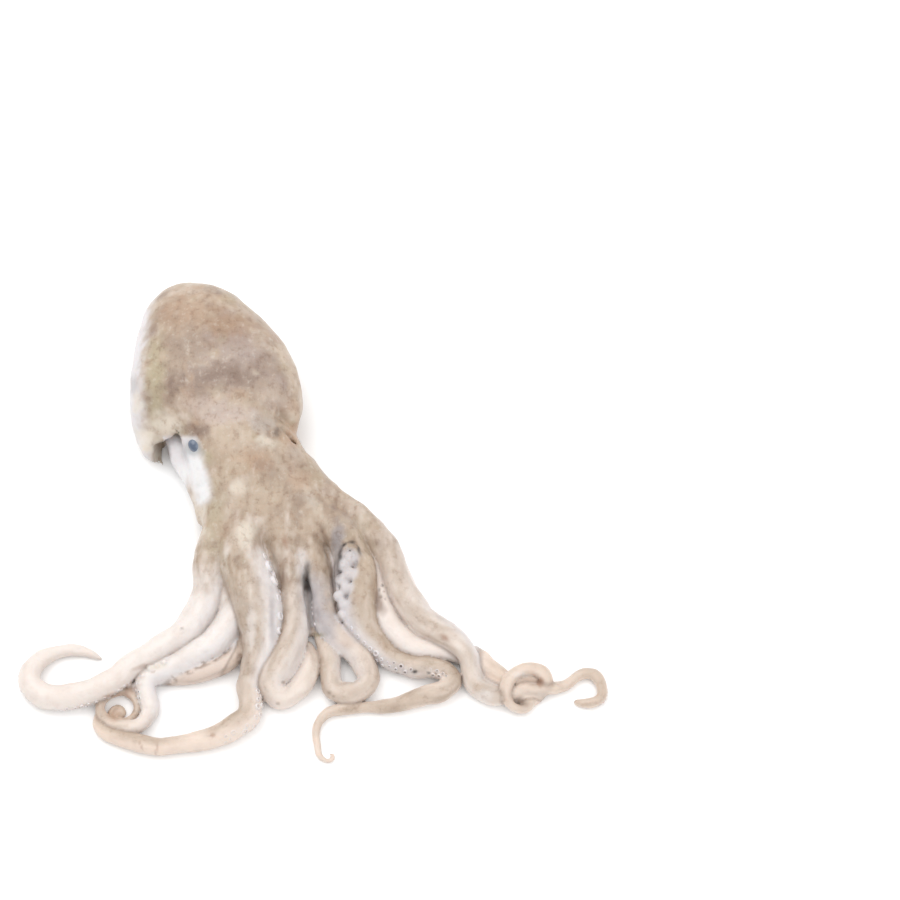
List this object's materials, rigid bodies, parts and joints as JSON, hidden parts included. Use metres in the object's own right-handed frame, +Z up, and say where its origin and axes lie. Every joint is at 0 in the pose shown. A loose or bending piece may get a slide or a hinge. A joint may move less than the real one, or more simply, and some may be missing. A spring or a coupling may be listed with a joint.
{
  "type": "whole octopus",
  "caption": "Whole raw octopus lying on its side, egg-shaped mottled mantle, small eye, webbed crown and coiled arms with suckers",
  "frame": {"origin": "centre of the octopus's bounding box at the surface it lies on", "axes": "X along the fan of arms, Y from the arms to the mantle, Z up"},
  "size_m": [0.2262, 0.2034, 0.035],
  "materials": {
    "octopus_skin": "damp soft skin and flesh, mottled tan above and pinkish white below"
  },
  "bodies": {
    "root": {"octopus": "octopus_skin"}
  },
  "joints": []
}
